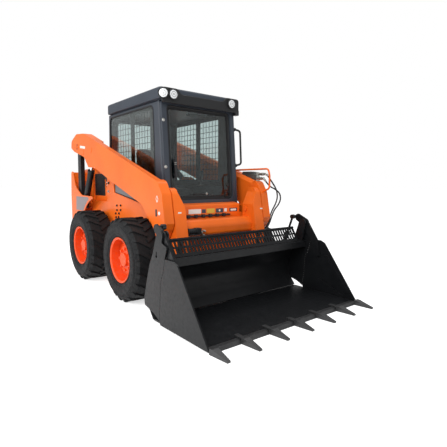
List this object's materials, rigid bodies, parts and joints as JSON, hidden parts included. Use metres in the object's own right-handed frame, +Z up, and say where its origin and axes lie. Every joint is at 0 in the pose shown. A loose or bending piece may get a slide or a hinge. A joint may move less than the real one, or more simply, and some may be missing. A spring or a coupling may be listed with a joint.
{
  "type": "skid steer loader",
  "caption": "Compact skid steer loader on four lugged tyres with an enclosed cab, vertical-lift arms and a toothed combination bucket.",
  "frame": {"origin": "on the ground, under the centre of the machine's overall length and width", "axes": "+Z up; -Y is the way the machine faces, from tail to bucket teeth; +X is the machine's left side"},
  "size_m": [1.794, 3.66, 2.08],
  "materials": {
    "orange_enamel": "gloss",
    "rim_enamel": "satin",
    "charcoal_enamel": "satin",
    "black_enamel": "satin",
    "tyre_rubber": "matte",
    "chrome_rod": "polished",
    "black_plastic": "matte",
    "seat_vinyl": "matte",
    "tinted_glass": "clear",
    "lamp_glass": "clear",
    "red_lens": "gloss"
  },
  "bodies": {
    "chassis": {"frame": "orange_enamel", "link_supports": "orange_enamel", "wing_plates": "orange_enamel", "rear_panels": "orange_enamel", "axle_housings": "black_enamel", "rear_bumper": "black_enamel", "engine": "black_enamel", "side_grilles": "black_enamel", "rear_lamps": "red_lens", "cab_shell": "charcoal_enamel", "cab_floor": "black_enamel", "cab_roof": "charcoal_enamel", "front_door": "charcoal_enamel", "cab_glass": "tinted_glass", "side_screens": "black_enamel", "door_handle": "black_plastic", "wiper": "black_plastic", "work_lamps": "lamp_glass", "seat": "seat_vinyl", "seat_box": "black_enamel", "controls": "black_plastic", "grab_handle": "charcoal_enamel", "front_sill": "orange_enamel", "front_fittings": "chrome_rod"},
    "hood": {"hood": "orange_enamel"},
    "tail_door": {"tail_door": "black_enamel"},
    "rear_links": {"rear_links": "black_enamel"},
    "front_links": {"front_links": "black_enamel"},
    "arms": {"lift_arms": "orange_enamel", "aux_block": "chrome_rod", "aux_couplers": "chrome_rod", "aux_hose_upper": "black_plastic", "aux_hose_lower": "black_plastic", "swivel": "black_enamel"},
    "lift_barrels": {"lift_barrels": "black_enamel"},
    "lift_rods": {"lift_rods": "chrome_rod"},
    "bucket": {"coupler": "black_enamel", "bucket_back": "black_enamel", "bucket_guard": "black_enamel"},
    "tilt_barrels": {"tilt_barrels": "black_enamel"},
    "tilt_rods": {"tilt_rods": "chrome_rod"},
    "clam": {"clam": "black_enamel", "cutting_edge": "black_enamel"},
    "clam_barrels": {"clam_barrels": "black_enamel"},
    "clam_rods": {"clam_rods": "chrome_rod"},
    "wheel_front_right": {"tyre_front_right": "tyre_rubber", "rim_front_right": "rim_enamel"},
    "wheel_front_left": {"tyre_front_left": "tyre_rubber", "rim_front_left": "rim_enamel"},
    "wheel_rear_right": {"tyre_rear_right": "tyre_rubber", "rim_rear_right": "rim_enamel"},
    "wheel_rear_left": {"tyre_rear_left": "tyre_rubber", "rim_rear_left": "rim_enamel"}
  },
  "joints": [
    {"name": "wheel_front_right_spin", "type": "hinge", "parent": "chassis", "child": "wheel_front_right", "pos_m": [-0.735, -0.17, 0.409], "axis": [1, 0, 0], "continuous": true},
    {"name": "wheel_front_left_spin", "type": "hinge", "parent": "chassis", "child": "wheel_front_left", "pos_m": [0.735, -0.17, 0.409], "axis": [1, 0, 0], "continuous": true},
    {"name": "wheel_rear_right_spin", "type": "hinge", "parent": "chassis", "child": "wheel_rear_right", "pos_m": [-0.735, 0.937, 0.409], "axis": [1, 0, 0], "continuous": true},
    {"name": "wheel_rear_left_spin", "type": "hinge", "parent": "chassis", "child": "wheel_rear_left", "pos_m": [0.735, 0.937, 0.409], "axis": [1, 0, 0], "continuous": true},
    {"name": "rear_links_swing", "type": "hinge", "parent": "chassis", "child": "rear_links", "pos_m": [0, 1.56, 0.97], "axis": [-1, 0, 0], "range_deg": [-17.2, 0.02]},
    {"name": "arms_lift", "type": "hinge", "parent": "rear_links", "child": "arms", "pos_m": [0, 1.539, 1.612], "axis": [-1, 0, 0], "range_deg": [0, 78]},
    {"name": "front_links_swing", "type": "hinge", "parent": "chassis", "child": "front_links", "pos_m": [0, 0.778, 1.141], "axis": [-1, 0, 0], "range_deg": [-21.9, 0.02]},
    {"name": "lift_barrels_swing", "type": "hinge", "parent": "chassis", "child": "lift_barrels", "pos_m": [0, 1.43, 0.86], "axis": [-1, 0, 0], "range_deg": [-0.02, 8.87]},
    {"name": "lift_rods_slide", "type": "slide", "parent": "lift_barrels", "child": "lift_rods", "axis": [0, -0.4752, 0.8799], "range_m": [-0.0005, 0.4216]},
    {"name": "bucket_tilt", "type": "hinge", "parent": "arms", "child": "bucket", "pos_m": [0, -0.67, 0.24], "axis": [1, 0, 0], "range_deg": [-23, 92]},
    {"name": "tilt_barrels_swing", "type": "hinge", "parent": "arms", "child": "tilt_barrels", "pos_m": [0, -0.545, 0.88], "axis": [1, 0, 0], "range_deg": [-1.62, 0.42]},
    {"name": "tilt_rods_slide", "type": "slide", "parent": "tilt_barrels", "child": "tilt_rods", "axis": [0, -0.2905, -0.9569], "range_m": [-0.0305, 0.1206]},
    {"name": "clam_open", "type": "hinge", "parent": "bucket", "child": "clam", "pos_m": [0, -1.004, 0.747], "axis": [-1, 0, 0], "range_deg": [0, 55]},
    {"name": "clam_barrels_swing", "type": "hinge", "parent": "bucket", "child": "clam_barrels", "pos_m": [0, -0.722, 0.35], "axis": [-1, 0, 0], "range_deg": [-5.21, 0.02]},
    {"name": "clam_rods_slide", "type": "slide", "parent": "clam_barrels", "child": "clam_rods", "axis": [0, -0.3627, 0.9319], "range_m": [-0.1024, 0.0005]},
    {"name": "hood_open", "type": "hinge", "parent": "chassis", "child": "hood", "pos_m": [0, 1.022, 1.316], "axis": [1, 0, 0], "range_deg": [0, 50]},
    {"name": "tail_door_open", "type": "hinge", "parent": "chassis", "child": "tail_door", "pos_m": [0.513, 1.79, 0.99], "axis": [0, 0, -1], "range_deg": [0, 105]}
  ],
  "couplings": [
    {"joint": "rear_links_swing", "follows": "arms_lift", "ratio": -0.2203},
    {"joint": "front_links_swing", "follows": "arms_lift", "ratio": -0.2805},
    {"joint": "lift_barrels_swing", "follows": "arms_lift", "ratio": 0.1134},
    {"joint": "lift_rods_slide", "follows": "arms_lift", "m_per_rad": 0.3093},
    {"joint": "tilt_barrels_swing", "follows": "bucket_tilt", "ratio": -0.0174},
    {"joint": "tilt_rods_slide", "follows": "bucket_tilt", "m_per_rad": 0.0748},
    {"joint": "clam_barrels_swing", "follows": "clam_open", "ratio": -0.0944},
    {"joint": "clam_rods_slide", "follows": "clam_open", "m_per_rad": -0.1062}
  ]
}
